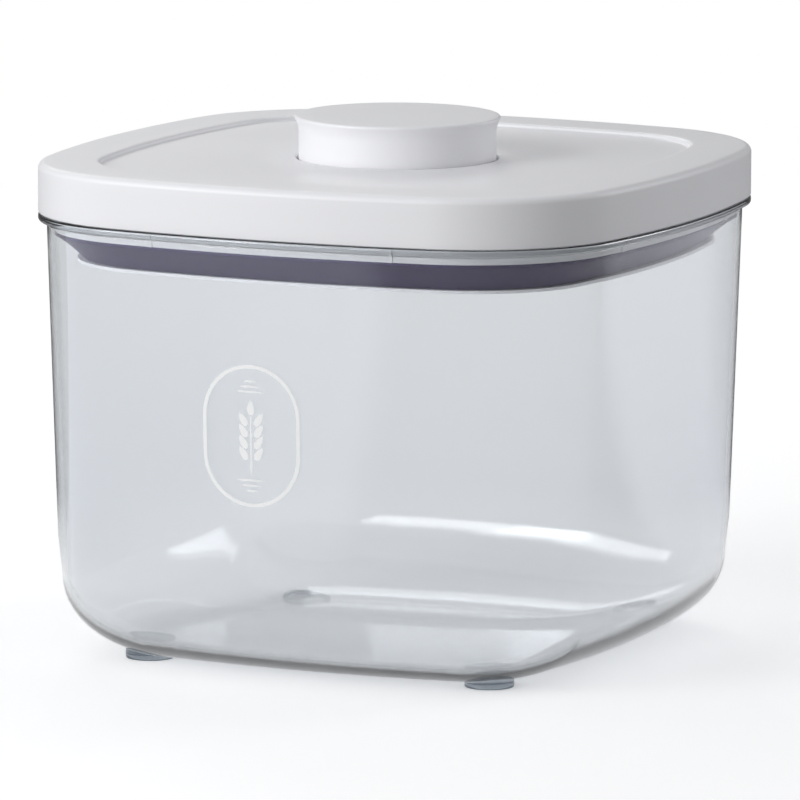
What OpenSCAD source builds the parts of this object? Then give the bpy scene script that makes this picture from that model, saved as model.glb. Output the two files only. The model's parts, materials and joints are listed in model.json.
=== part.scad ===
// Square storage bin for rice and other dry goods: a clear tub on four bumper feet and a white
// press-button lid. Pressing the button rocks four levers, the levers lift the pressure plate,
// and the plate squeezes the soft seal outwards against the tub.
// Millimetres, +Z up, origin on the table under the middle of the tub, front wall towards -Y.

/* [Outline] */
// Width and depth of the lid and of the tub's rim, across the flats
body_w = 234; // [226:1:250]
// Radius of the gently bowed sides, seen from above
side_r = 400; // [330:5:600]
// Radius of the rounded corners, seen from above
corner_r = 59.5; // [56:0.5:66]

/* [Tub] */
// Height of the tub's rim above the table
rim_z = 162.7; // [150:0.1:200]
// Thickness of the clear wall
wall_t = 2; // [1.6:0.1:2.6]
// Thickness of the clear floor
floor_t = 3; // [2:0.1:4]
// Slope of the walls from upright, in degrees
draft = 1.9; // [1:0.1:2.2]
// How far the rim's edge stands out from the wall
rim_out = 3; // [2.6:0.1:3.6]
// Height of the rim's edge
rim_h = 2.6; // [2:0.1:4]
// Width of the rounding between wall and floor
round_w = 39; // [30:1:40]
// Height of the rounding between wall and floor
round_h = 29; // [24:1:34]

/* [Feet] */
// Height of the bumper feet under the floor
foot_h = 1; // [0.8:0.1:4]
// Radius of a bumper foot
foot_r = 9.1; // [7:0.1:11]
// Distance of each foot's centre from the middle, along X and along Y
foot_at = 67.5; // [60:0.5:70]

/* [Lid cover] */
// Height of the lid's skirt, from its lower edge to the lid's top
skirt_h = 18.3; // [16:0.1:24]
// Thickness of the skirt
skirt_t = 2.4; // [1.8:0.1:2.4]
// Dark gap between the skirt and the tub's rim
skirt_gap = 0.4; // [0.3:0.1:1]
// Rounding of the lid's upper edge
edge_r = 2.6; // [1.5:0.1:4]
// Width of the flat band round the sunk panel
band_w = 21; // [16:0.5:24]
// Depth of the sunk panel
panel_d = 1.8; // [1:0.1:2.4]
// Width of the soft step down to the panel
panel_step = 3.2; // [2:0.1:5]
// Thickness of the lid's top
top_t = 2.2; // [1.6:0.1:3]

/* [Button] */
// Radius of the button's top
button_r = 37.6; // [35:0.1:39]
// Height of the raised button above the lid's top
button_up = 13.6; // [12.6:0.1:18]
// How far the button is pressed down
travel = 12; // [10:0.1:12.4]
// How far the button's upper edge stands out over its side
button_lip = 1.5; // [0.5:0.1:2]
// Height of the flare under the button's upper edge
flare_h = 6; // [3:0.1:8]
// Gap between the button and the hole in the lid
button_gap = 0.9; // [0.6:0.1:1.4]
// Thickness of the button's shell
cap_t = 2.4; // [1.8:0.1:3]
// How far the button's stop edge stands out under the lid's panel
stop_out = 1; // [0.8:0.1:1.4]

/* [Seal and plate] */
// Height of the clear band between the rim and the seal
band_h = 5.6; // [5:0.1:8]
// Height of the relaxed seal
seal_h = 10.3; // [9:0.1:12]
// Gap between the relaxed seal and the tub
seal_gap = 0.3; // [0.2:0.05:0.6]
// Width of the seal's sloping face
seal_slope_w = 11.2; // [9:0.1:13]
// Width of the seal's foot, which stands on the plate
seal_foot_w = 5; // [4:0.1:7]
// Thickness of the seal's upper lip
seal_lip_t = 1.2; // [0.8:0.1:1.6]
// How far the plate's edge stands out past the seal's foot
plate_out = 2.4; // [1:0.1:3]
// Thickness of the plate's edge
plate_edge_t = 1.1; // [0.8:0.1:1.6]
// Thickness of the plate
plate_t = 2; // [1.8:0.1:2.6]

/* [Seal carrier] */
// Thickness of the carrier's flange, which rests on the tub's rim
flange_t = 2; // [1.6:0.1:3]
// Thickness of the carrier's walls and floor
tray_t = 2; // [1.6:0.1:2.6]
// Clearance between the carrier's wall and the tub
tray_gap = 0.9; // [0.6:0.1:1.5]
// Free height between the lifted plate and the carrier's floor
plate_room = 1.6; // [1:0.1:3]
// Width of a centring rib on the carrier's wall
rib_w = 1.6; // [1:0.1:3]
// Distance of the centring ribs from the middle of each side
rib_at = 47; // [30:1:52]

/* [Levers] */
// Length of a lever's long arm, on the button's side
arm_in = 28; // [26:0.1:30]
// Length of a lever's short arm, on the plate's side
arm_out = 7; // [6:0.1:8]
// Thickness of a lever's round inner end
lever_t = 3; // [2.6:0.1:3.4]
// Thickness of a lever's arms
arm_t = 2; // [1.6:0.1:2.2]
// Thickness of a lever's round, forked outer end
fork_t = 4; // [3.6:0.1:4.6]
// Width of a lever
lever_w = 8; // [7:0.1:9]
// Distance of a lever's inner end from the button's axis
lever_tip_r = 14; // [13.6:0.1:16]
// Radius of a lever's pivot pin
pin_r = 1.5; // [1.2:0.05:1.7]
// Clearance of a pin in a bore that turns on it
pin_play = 0.08; // [0.04:0.01:0.1]
// Thickness of an ear that holds a pivot pin
ear_t = 2.4; // [2:0.1:3]
// Running clearance between parts that slide or push
slack = 0.25; // [0.2:0.05:0.4]

/* [Button core] */
// Outer radius of the core's tube
core_r = 11.5; // [11:0.1:11.8]
// Radius of the spring's space inside the core
core_bore_r = 9.2; // [8.9:0.1:9.6]
// Radius of the flanges that hold the levers' inner ends
spool_r = 17; // [16.6:0.1:17.4]
// Thickness of each flange
spool_t = 1.6; // [1.2:0.1:2.2]

/* [Spring] */
// Radius of the return spring, at the middle of its wire
spring_r = 7.9; // [7.7:0.05:8.1]
// Radius of the spring's wire
wire_r = 0.6; // [0.4:0.05:0.7]
// Turns of the spring
spring_turns = 7; // [5:1:9]
// Radius of the post that guides the spring
guide_r = 6.4; // [5.5:0.1:6.6]

/* [Lift posts] */
// Radius of a lift post
post_r = 2; // [1.6:0.1:2.2]
// Radius of a lift post's head
head_r = 4; // [3.6:0.1:4.4]
// Thickness of a lift post's head
head_t = 2; // [1.5:0.1:2.6]

/* [Latch] */
// Length of the latch arm, from its pivot to its follower pin
latch_len = 12.8; // [12:0.1:13.2]
// Thickness of the latch arm
latch_t = 1.5; // [1.2:0.1:2]
// Sideways travel of the follower pin over the whole press
latch_side = 2.5; // [2:0.1:2.6]
// Radius of the follower pin
follower_r = 1.1; // [0.9:0.05:1.2]
// Depth of the heart-shaped track
track_d = 2; // [1.6:0.1:2.4]

/* [Screws] */
// Distance of each screw from the middle, along X and along Y
screw_at = 60; // [56:1:64]
// Radius of a screw's thread
screw_r = 1.5; // [1.2:0.05:1.8]
// Radius of a screw's head
screw_head_r = 3; // [2.6:0.1:3.4]
// Thickness of a screw's head
screw_head_t = 2; // [1.6:0.1:2.4]

/* [Hidden] */
$fn = 96;
// Steps along one bowed side and round one corner of a lofted ring
SIDE_STEPS = 6;
CORNER_STEPS = 14;
// Steps round a moulded edge
EDGE_STEPS = 4;
ROUND_STEPS = 7;
SLOT_STEPS = 11;
FLARE_STEPS = 5;
// Overlap of cutting shapes past the faces that they cut, and depth at which ribs root in a wall
CUT = 1;
ROOT = 0.6;
// How far up a foot follows the rounding of the tub's base
foot_rise = 3;
FRONT = 270;
RIGHT = 0;
BACK = 90;
LEFT = 180;

// Plan outline: four side arcs and four corner arcs that meet tangentially
half_w = body_w / 2;
side_k = side_r - half_w;
corner_c = (sqrt(2 * pow(side_r - corner_r, 2) - side_k * side_k) - side_k) / 2;
tangent_a = atan2(corner_c, corner_c + side_k);

// Insets from the plan outline, and heights above the table
slope = tan(draft);
wall_in = rim_out;
inner_in = rim_out + wall_t;
base_in = wall_in + (rim_z - foot_h) * slope;
skirt_z = rim_z + skirt_gap;
lid_z = skirt_z + skirt_h;
panel_z = lid_z - panel_d;
ceiling_z = panel_z - top_t;
button_z = lid_z + button_up;
seal_top_z = rim_z - band_h;
seal_bot_z = seal_top_z - seal_h;
seal_top_in = inner_in + band_h * slope + seal_gap;
seal_foot_in = seal_top_in + seal_slope_w;
seal_back_in = seal_foot_in + seal_foot_w;
plate_bot_z = seal_bot_z - plate_edge_t;
plate_top_z = plate_bot_z + plate_t;
plate_edge_in = seal_foot_in - plate_out;
lift = travel * arm_out / arm_in;
tray_in = inner_in + tray_gap;
well_in = seal_back_in + seal_gap;
floor_bot_z = plate_top_z + lift + plate_room;
floor_z = floor_bot_z + tray_t;

// Levers: the long arm falls by the travel while the short arm rises by the lift
swing = asin(travel / 2 / arm_in);
core_rest_gap = 0.6;
pivot_r = lever_tip_r + arm_in;
lift_r = pivot_r + arm_out;
tip_low_z = floor_z + core_rest_gap + spool_t + slack + lever_t / 2;
tip_high_z = tip_low_z + travel;
pivot_z = tip_low_z + travel / 2;
hub_r = pin_r + 1.5;
ear_gap = 0.3;
ear_in = lever_w / 2 + ear_gap;
ear_r = pin_r + 1.5;
pin_len = 2 * (ear_in + ear_t);

// Button
stop_h = 1.4;
cap_foot_z = ceiling_z - slack - stop_h;
cap_side_r = button_r - button_lip;
hole_r = cap_side_r + button_gap;
stop_r = hole_r + stop_out;
collar_in_r = stop_r + slack;
collar_t = 2.2;
collar_z = pivot_z + ear_r + 1.5;
notch_w = pin_len + 1.6;
core_foot_z = tip_high_z - lever_t / 2 - slack - spool_t;
core_top_z = button_z - cap_t;
spring_len = 2 * travel + 5.4;
core_ceiling_z = floor_z + spring_len;
guide_top_z = core_ceiling_z - travel - 1;

// Lift posts
post_foot_z = plate_bot_z + 1;
head_z = pivot_z - arm_out * sin(swing) + fork_t / 2 + slack;
fork_gap = 0.4;

// Latch, in a frame turned so that its first axis points away from the button's axis
LATCH_TURN = 45;
latch_pivot_z = floor_z + 3.6;
latch_swing = asin(latch_side / latch_len);
latch_face = spool_r + 0.5;
arm_gap = 0.5;
track_gap = 0.35;
track_w = 2 * (follower_r + track_gap);
return_w = track_w + 0.3;
follower_z = latch_pivot_z + latch_len;
cam_half_w = latch_side + return_w / 2 + 1.1;
cam_foot_z = follower_z - return_w / 2 - 1.2;
cam_top_z = follower_z + travel + return_w / 2 + 1.6;
latch_pin_r = 1.2;

// Screws
boss_foot_z = floor_z + 5.4;
boss_r = 4.4;
seat_t = 2.4;
thread_len = 8;

// Points of one ring of the plan outline, drawn in by an inset, at one height
function ring(inset, z) = [
    for (q = [0 : 3])
        each concat(
            [
                for (i = [0 : SIDE_STEPS - 1])
                    let (a = -tangent_a + 2 * tangent_a * i / SIDE_STEPS, r = side_r - inset)
                        turned(q * 90, -side_k + r * cos(a), r * sin(a), z)
            ],
            [
                for (i = [0 : CORNER_STEPS - 1])
                    let (a = tangent_a + (90 - 2 * tangent_a) * i / CORNER_STEPS, r = corner_r - inset)
                        turned(q * 90, corner_c + r * cos(a), corner_c + r * sin(a), z)
            ]
        )
];

// Distance of a bowed side from the middle, at a place along the side
function bow(inset, along) = sqrt(pow(side_r - inset, 2) - along * along) - side_k;

function turned(a, x, y, z) = [x * cos(a) - y * sin(a), x * sin(a) + y * cos(a), z];

// Solid lofted through rings. Each step of the profile is an inset and a height.
// A closed profile joins its last ring to its first, and any other is capped at both ends.
module loft(profile, closed = false) {
    n = 4 * (SIDE_STEPS + CORNER_STEPS);
    m = len(profile);
    points = [for (p = profile) each ring(p[0], p[1])];
    walls = [
        for (k = [0 : closed ? m - 1 : m - 2])
            let (low = k * n, high = ((k + 1) % m) * n)
                for (i = [0 : n - 1])
                    let (j = (i + 1) % n)
                        each [[low + i, high + i, high + j], [low + i, high + j, low + j]]
    ];
    caps = closed ? [] : [[for (i = [0 : n - 1]) i], [for (i = [0 : n - 1]) m * n - 1 - i]];
    polyhedron(points = points, faces = concat(walls, caps), convexity = 8);
}

// Quarter of an ellipse as profile steps, between two angles
function arc_steps(centre_in, centre_z, w, h, from, to, steps) = [
    for (i = [0 : steps])
        let (a = from + (to - from) * i / steps)
            [centre_in - w * cos(a), centre_z + h * sin(a)]
];

// Plan outline with true arcs, drawn in by an inset
module plan(inset) {
    r = corner_r - inset;
    t = [corner_c + r * cos(tangent_a), corner_c + r * sin(tangent_a)];
    far = 2 * half_w;
    difference() {
        intersection_for(q = [0 : 3]) {
            rotate(q * 90)
                translate([-side_k, 0])
                    circle(r = side_r - inset, $fn = 240);
        }
        for (q = [0 : 3])
            rotate(q * 90)
                polygon([t, [far, far], [t[1], t[0]]]);
    }
    for (q = [0 : 3])
        rotate(q * 90)
            translate([corner_c, corner_c])
                circle(r = r);
}

module slab(inset, z_low, z_high) {
    translate([0, 0, z_low])
        linear_extrude(z_high - z_low)
            plan(inset);
}

module rod(r, z_low, z_high) {
    translate([0, 0, z_low])
        cylinder(r = r, h = z_high - z_low);
}

// Rod along the first axis, from one reach to another, at a side place and a height
module cross_rod(r, from, to, side, z) {
    translate([from, side, z])
        rotate([0, 90, 0])
            cylinder(r = r, h = to - from);
}

// Rod along the second axis, centred on it
module axle(r, len, x, z) {
    translate([x, 0, z])
        rotate([90, 0, 0])
            cylinder(r = r, h = len, center = true);
}

module each_side() {
    for (a = [FRONT, RIGHT, BACK, LEFT])
        rotate(a)
            children();
}

module each_corner(at) {
    for (x = [-at, at], y = [-at, at])
        translate([x, y, 0])
            children();
}

// Outside of the tub under its rim, as profile steps from the floor up
function tub_outside() =
    concat(
        arc_steps(base_in + round_w, foot_h + round_h, round_w, round_h, -90, 0, ROUND_STEPS),
        [[wall_in + rim_h * slope + 0.2, rim_z - rim_h - 1]]
    );

module tub() {
    lip = 0.9;
    inner_base_in = base_in + wall_t;
    inner_w = round_w - wall_t;
    inner_h = round_h - floor_t;
    color([0.86, 0.89, 0.91, 0.35])
        loft(concat(
            tub_outside(),
            [[lip, rim_z - rim_h], [0, rim_z - rim_h + lip]],
            arc_steps(lip, rim_z - lip, lip, lip, 0, 90, 3),
            [[inner_in, rim_z]],
            arc_steps(inner_base_in + inner_w, foot_h + floor_t + inner_h, inner_w, inner_h,
                0, -90, ROUND_STEPS)
        ));
}

// Bumper foot whose top follows the tub's rounded underside
module foot(x, y) {
    edge = 0.5;
    color([0.7, 0.72, 0.74, 0.5])
        difference() {
            translate([x, y, 0]) {
                cylinder(r1 = foot_r - edge, r2 = foot_r, h = edge);
                rod(foot_r, edge, foot_h + foot_rise);
            }
            loft(tub_outside());
        }
}

module foot_front_left() { foot(-foot_at, -foot_at); }
module foot_front_right() { foot(foot_at, -foot_at); }
module foot_back_left() { foot(-foot_at, foot_at); }
module foot_back_right() { foot(foot_at, foot_at); }

// White cover: skirt, flat band, soft step and sunk panel, with a collar that guides the button
module lid_cover() {
    step_half = panel_step / 2;
    fall_half = panel_d / 2;
    color("white") {
        difference() {
            union() {
                loft(concat(
                    [
                        [skirt_t + 1.2, ceiling_z],
                        [skirt_t, ceiling_z - 1.2],
                        [skirt_t, skirt_z + 0.4],
                        [skirt_t - 0.4, skirt_z],
                        [0.5, skirt_z],
                        [0, skirt_z + 0.5]
                    ],
                    arc_steps(edge_r, lid_z - edge_r, edge_r, edge_r, 0, 90, EDGE_STEPS),
                    [
                        for (i = [0 : EDGE_STEPS])
                            let (a = 90 - 90 * i / EDGE_STEPS)
                                [band_w + step_half * cos(a), lid_z - fall_half * (1 - sin(a))]
                    ],
                    [
                        for (i = [1 : EDGE_STEPS])
                            let (a = 90 * i / EDGE_STEPS)
                                [band_w + panel_step - step_half * cos(a),
                                    panel_z + fall_half * (1 - sin(a))]
                    ]
                ));
                rod(collar_in_r + collar_t, collar_z, ceiling_z);
                each_corner(screw_at)
                    rod(boss_r, boss_foot_z, ceiling_z);
            }
            rod(hole_r, ceiling_z - CUT, panel_z + CUT);
            rod(collar_in_r, collar_z - CUT, ceiling_z);
            each_corner(screw_at)
                rod(screw_r, boss_foot_z - CUT, boss_foot_z + thread_len + CUT);
        }
    }
}

// Clear carrier: flange on the tub's rim, wall, sunk floor, and the ears and posts on it
module seal_carrier() {
    flange_in = skirt_t + slack;
    rib_in = inner_in + band_h * slope + slack;
    pocket_r = screw_head_r + slack;
    color([0.93, 0.95, 0.96, 0.6]) {
        difference() {
            union() {
                slab(flange_in, rim_z, rim_z + flange_t);
                slab(tray_in, seal_top_z, rim_z + ROOT);
                slab(well_in, floor_bot_z, seal_top_z + ROOT);
                each_side()
                    for (s = [-1, 1])
                        translate([bow(tray_in, rib_at) - ROOT, s * rib_at - rib_w / 2, seal_top_z])
                            cube([tray_in - rib_in + ROOT, rib_w, rim_z - seal_top_z]);
            }
            difference() {
                slab(tray_in + tray_t, seal_top_z + tray_t, rim_z + flange_t + CUT);
                each_corner(screw_at)
                    rod(boss_r, floor_z, boss_foot_z);
            }
            difference() {
                slab(well_in + tray_t, floor_z, seal_top_z + tray_t + CUT);
                each_corner(screw_at)
                    rod(boss_r, floor_z, boss_foot_z);
            }
            each_corner(screw_at) {
                rod(pocket_r, floor_bot_z - CUT, boss_foot_z - seat_t);
                rod(screw_r + slack, floor_bot_z, boss_foot_z + CUT);
            }
            each_side()
                translate([lift_r, 0, 0])
                    rod(post_r + slack, floor_bot_z - CUT, floor_z + CUT);
        }
        rod(guide_r, floor_z - ROOT, guide_top_z);
        each_side()
            lever_ears();
        rotate(LATCH_TURN)
            latch_ear();
    }
}

// Two ears that hold one lever's pivot pin
module lever_ears() {
    for (s = [-1, 1])
        translate([pivot_r, s * (ear_in + ear_t / 2), 0])
            difference() {
                union() {
                    translate([-ear_r, -ear_t / 2, floor_z - ROOT])
                        cube([2 * ear_r, ear_t, pivot_z - floor_z + ROOT]);
                    axle(ear_r, ear_t, 0, pivot_z);
                }
                axle(pin_r, ear_t + CUT, 0, pivot_z);
            }
}

// Post that holds the latch arm's pivot pin
module latch_ear() {
    ear_from = latch_face + arm_gap + latch_t + ear_gap;
    half = latch_pin_r + 1.6;
    difference() {
        union() {
            translate([ear_from, -half, floor_z - ROOT])
                cube([ear_t, 2 * half, latch_pivot_z - floor_z + ROOT]);
            cross_rod(half, ear_from, ear_from + ear_t, 0, latch_pivot_z);
        }
        cross_rod(latch_pin_r, ear_from - CUT, ear_from + ear_t + CUT, 0, latch_pivot_z);
    }
}

// Soft ring with a sloping outer face, an upper lip and a hollow behind the lip
module seal_ring() {
    groove = seal_foot_w * 0.4;
    color([0.36, 0.34, 0.45])
        loft([
            [seal_back_in, seal_top_z],
            [seal_back_in, seal_bot_z],
            [seal_foot_in, seal_bot_z],
            [seal_foot_in - 0.5, seal_bot_z + 0.3],
            [seal_top_in + 0.3, seal_top_z - seal_lip_t],
            [seal_top_in, seal_top_z - seal_lip_t + 0.4],
            [seal_top_in, seal_top_z - 0.3],
            [seal_top_in + 0.3, seal_top_z],
            [seal_foot_in, seal_top_z],
            [seal_foot_in + groove * 0.4, seal_top_z - 2.4],
            [seal_foot_in + groove, seal_top_z - 2.4],
            [seal_foot_in + groove * 1.4, seal_top_z]
        ], closed = true);
}

// White plate under the seal, with a locating step and four bosses for the lift posts
module pressure_plate() {
    boss_h = 1.2;
    panel_in = well_in + 6;
    panel_cut = 0.6;
    color("white")
        difference() {
            union() {
                slab(plate_edge_in, plate_bot_z, plate_bot_z + plate_edge_t);
                slab(well_in, plate_bot_z, plate_top_z);
                each_side()
                    translate([lift_r, 0, 0])
                        rod(head_r, plate_bot_z, plate_top_z + boss_h);
            }
            slab(panel_in, plate_bot_z - CUT, plate_bot_z + panel_cut);
            each_side()
                translate([lift_r, 0, 0])
                    rod(post_r, post_foot_z, plate_top_z + boss_h + CUT);
        }
}

// White button: a round cup that flares under its upper edge, with a stop edge at its foot and
// four notches that let the levers pass
module button_cap() {
    notch_top_z = panel_z - 0.4;
    fillet = 1.2;
    color("white")
        difference() {
            rotate_extrude($fn = 128)
                polygon(concat(
                    [
                        [0, button_z - cap_t],
                        [cap_side_r - cap_t, button_z - cap_t],
                        [cap_side_r - cap_t, cap_foot_z],
                        [stop_r, cap_foot_z],
                        [stop_r, cap_foot_z + stop_h],
                        [cap_side_r, cap_foot_z + stop_h]
                    ],
                    [
                        for (i = [0 : FLARE_STEPS - 1])
                            let (s = i / FLARE_STEPS)
                                [cap_side_r + button_lip * s * s,
                                    button_z - flare_h + (flare_h - fillet) * s]
                    ],
                    [
                        for (i = [0 : 6])
                            let (a = 90 * i / 6)
                                [button_r - fillet + fillet * cos(a), button_z - fillet + fillet * sin(a)]
                    ],
                    [[0, button_z]]
                ));
            each_side()
                translate([core_r + 4, -notch_w / 2, cap_foot_z - CUT])
                    cube([stop_r, notch_w, notch_top_z - cap_foot_z + CUT]);
        }
}

// Core inside the button: spring tube, two flanges that hold the levers, and the latch's track
module button_core() {
    color([0.9, 0.9, 0.92])
        difference() {
            union() {
                rod(core_r, core_foot_z, core_top_z);
                rod(spool_r, core_foot_z, core_foot_z + spool_t);
                rod(spool_r, tip_high_z + lever_t / 2 + slack, tip_high_z + lever_t / 2 + slack + spool_t);
                rod(spool_r, core_top_z - spool_t, core_top_z);
                rotate(LATCH_TURN)
                    translate([core_bore_r + 1, -cam_half_w, cam_foot_z])
                        cube([latch_face - core_bore_r - 1, 2 * cam_half_w, cam_top_z - cam_foot_z]);
            }
            rod(core_bore_r, core_foot_z - CUT, core_ceiling_z);
            rod(core_bore_r, core_ceiling_z + 2, core_top_z + CUT);
            rotate(LATCH_TURN)
                translate([latch_face - track_d, 0, 0])
                    rotate([90, 0, 90])
                        linear_extrude(track_d + CUT)
                            heart_track();
        }
}

// Round-ended slot between two points, with its ends drawn as short chords
module slot(from, to, w) {
    d = to - from;
    turn = atan2(d[1], d[0]);
    polygon([
        for (end = [[to, -90], [from, 90]], i = [0 : SLOT_STEPS])
            let (a = turn + end[1] + 180 * i / SLOT_STEPS)
                end[0] + w / 2 * [cos(a), sin(a)]
    ]);
}

// Track of the follower pin: out and up on the press, into the notch, and back on the release
module heart_track() {
    start = [0, follower_z];
    out = [latch_side, follower_z + travel];
    notch = [0, follower_z + travel - 2.2];
    back = [-latch_side, follower_z + travel];
    slot(start, out, track_w);
    slot(out, notch, return_w);
    slot(notch, back, return_w);
    slot(back, start, return_w);
}

// Wire swept along a helix as one closed tube
module return_spring() {
    steps = 14;
    sides = 8;
    foot = floor_z + wire_r + 0.05;
    rise = spring_len - 2 * wire_r - 0.1;
    count = spring_turns * steps;
    points = [
        for (k = [0 : count])
            let (a = 360 * k / steps, z = foot + rise * k / count)
                for (s = [0 : sides - 1])
                    let (b = 360 * s / sides, r = spring_r + wire_r * cos(b))
                        [r * cos(a), r * sin(a), z + wire_r * sin(b)]
    ];
    walls = [
        for (k = [0 : count - 1], s = [0 : sides - 1])
            let (t = (s + 1) % sides, low = k * sides, high = low + sides)
                each [[low + s, low + t, high + t], [low + s, high + t, high + s]]
    ];
    ends = [
        [for (s = [0 : sides - 1]) sides - 1 - s],
        [for (s = [0 : sides - 1]) count * sides + s]
    ];
    color("silver")
        polyhedron(points = points, faces = concat(walls, ends), convexity = 10);
}

// Rocker with a round inner end, a hub on its pivot and a forked outer end, tilted as at rest
module lever() {
    reach = arm_out + fork_t / 2;
    slot_from = post_r + 1;
    fork_w = 2 * (post_r + fork_gap);
    color([0.8, 0.82, 0.85])
        translate([pivot_r, 0, pivot_z])
            rotate([0, swing, 0])
                difference() {
                    union() {
                        translate([-arm_in, -lever_w / 2, -arm_t / 2])
                            cube([arm_in + arm_out, lever_w, arm_t]);
                        axle(lever_t / 2, lever_w, -arm_in, 0);
                        axle(fork_t / 2, lever_w, arm_out, 0);
                        axle(hub_r, lever_w, 0, 0);
                    }
                    axle(pin_r + pin_play, lever_w + CUT, 0, 0);
                    translate([arm_out - slot_from, -fork_w / 2, -fork_t])
                        cube([reach + CUT, fork_w, 2 * fork_t]);
                }
}

module lever_front() { rotate(FRONT) lever(); }
module lever_right() { rotate(RIGHT) lever(); }
module lever_back() { rotate(BACK) lever(); }
module lever_left() { rotate(LEFT) lever(); }

module pivot_pin() {
    color("silver")
        axle(pin_r, pin_len, pivot_r, pivot_z);
}

module pivot_pin_front() { rotate(FRONT) pivot_pin(); }
module pivot_pin_right() { rotate(RIGHT) pivot_pin(); }
module pivot_pin_back() { rotate(BACK) pivot_pin(); }
module pivot_pin_left() { rotate(LEFT) pivot_pin(); }

// Post pressed into the plate, whose head the lever's fork lifts
module lift_post() {
    color("silver")
        translate([lift_r, 0, 0]) {
            rod(post_r, post_foot_z, head_z + head_t / 2);
            rod(head_r, head_z, head_z + head_t);
        }
}

module lift_post_front() { rotate(FRONT) lift_post(); }
module lift_post_right() { rotate(RIGHT) lift_post(); }
module lift_post_back() { rotate(BACK) lift_post(); }
module lift_post_left() { rotate(LEFT) lift_post(); }

// Flat arm that swings on the latch pin and carries the follower pin in the track
module latch_arm() {
    face = latch_face + arm_gap;
    hub = latch_pin_r + 1.4;
    tip = follower_r + 0.7;
    color("silver")
        rotate(LATCH_TURN)
            difference() {
                union() {
                    cross_rod(hub, face, face + latch_t, 0, latch_pivot_z);
                    cross_rod(tip, face, face + latch_t, 0, follower_z);
                    translate([face, -tip, latch_pivot_z])
                        cube([latch_t, 2 * tip, latch_len]);
                    cross_rod(follower_r, latch_face - track_d + slack, face + latch_t, 0, follower_z);
                }
                cross_rod(latch_pin_r + pin_play, face - CUT, face + latch_t + CUT, 0, latch_pivot_z);
            }
}

module latch_pin() {
    from = latch_face + arm_gap / 2;
    color("silver")
        rotate(LATCH_TURN)
            cross_rod(latch_pin_r, from, latch_face + arm_gap + latch_t + ear_gap + ear_t, 0, latch_pivot_z);
}

// Four screws, driven from below, that hold the carrier to the cover's bosses
module carrier_screws() {
    seat_z = boss_foot_z - seat_t;
    color("silver")
        each_corner(screw_at)
            difference() {
                union() {
                    rod(screw_head_r, seat_z - screw_head_t, seat_z);
                    rod(screw_r, seat_z - screw_head_t / 2, boss_foot_z + thread_len);
                }
                for (a = [0, 90])
                    rotate(a)
                        translate([-screw_head_r * 0.6, -0.4, seat_z - screw_head_t - CUT])
                            cube([screw_head_r * 1.2, 0.8, CUT + screw_head_t * 0.5]);
            }
}

tub();
foot_front_left();
foot_front_right();
foot_back_left();
foot_back_right();
lid_cover();
seal_carrier();
seal_ring();
pressure_plate();
button_cap();
button_core();
return_spring();
lever_front();
lever_right();
lever_back();
lever_left();
pivot_pin_front();
pivot_pin_right();
pivot_pin_back();
pivot_pin_left();
lift_post_front();
lift_post_right();
lift_post_back();
lift_post_left();
latch_arm();
latch_pin();
carrier_screws();
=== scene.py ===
"""Looks of the square rice bin with a press-button lid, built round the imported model."""

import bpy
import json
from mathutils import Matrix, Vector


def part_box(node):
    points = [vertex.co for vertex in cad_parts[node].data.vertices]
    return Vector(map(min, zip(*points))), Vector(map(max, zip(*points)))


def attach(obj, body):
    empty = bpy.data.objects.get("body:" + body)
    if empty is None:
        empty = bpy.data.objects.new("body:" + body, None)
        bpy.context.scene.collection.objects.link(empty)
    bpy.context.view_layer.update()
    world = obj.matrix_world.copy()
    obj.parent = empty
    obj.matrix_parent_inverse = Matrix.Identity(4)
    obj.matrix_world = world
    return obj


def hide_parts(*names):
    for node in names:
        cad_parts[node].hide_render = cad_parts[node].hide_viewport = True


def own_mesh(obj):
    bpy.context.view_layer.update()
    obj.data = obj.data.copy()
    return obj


bl_info = {
    "name": "Square Rice Bin",
    "version": (1, 0, 0),
    "blender": (4, 5, 0),
    "location": "View3D > Sidebar > Rice Bin",
    "description": "Clear square storage tub with a white press-button lid and a soft seal",
    "category": "Add Mesh",
}

import json
import math

import bpy
import numpy as np
from bpy.props import FloatProperty, IntProperty, PointerProperty, StringProperty
from bpy.types import Operator, Panel, PropertyGroup
from mathutils import Matrix, Vector

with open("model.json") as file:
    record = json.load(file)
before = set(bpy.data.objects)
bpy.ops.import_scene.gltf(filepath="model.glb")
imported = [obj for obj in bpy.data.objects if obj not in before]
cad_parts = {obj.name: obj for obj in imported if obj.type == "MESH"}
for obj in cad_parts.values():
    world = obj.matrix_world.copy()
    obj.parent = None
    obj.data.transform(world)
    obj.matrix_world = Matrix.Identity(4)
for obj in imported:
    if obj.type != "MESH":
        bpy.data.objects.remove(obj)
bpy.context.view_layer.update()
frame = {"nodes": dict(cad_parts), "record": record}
MM = 0.001
COVER_LOW, COVER_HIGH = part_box("lid_cover")
TUB_LOW, TUB_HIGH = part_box("tub")
SEAL_LOW, SEAL_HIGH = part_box("seal_ring")
CAP_LOW, CAP_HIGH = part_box("button_cap")
SPRING_LOW, SPRING_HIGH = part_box("return_spring")

# Values between which a noise pattern mostly lies
NOISE_LOW, NOISE_HIGH = 0.35, 0.65

# Name, place, size and power of each soft lamp, and the point that they face
LAMPS = (
    ("key_lamp", (-1.5, -1.8, 1.0), (1.2, 1.0), 22),
    ("front_lamp", (-0.9, -2.2, 0.8), (1.0, 0.8), 14),
    ("left_back_lamp", (-1.2, 1.6, 1.4), (1.0, 1.0), 8),
    ("right_back_lamp", (1.5, 1.8, 1.0), (0.8, 1.2), 9),
)
LAMP_AIM = (0, 0, 0.1)

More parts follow.
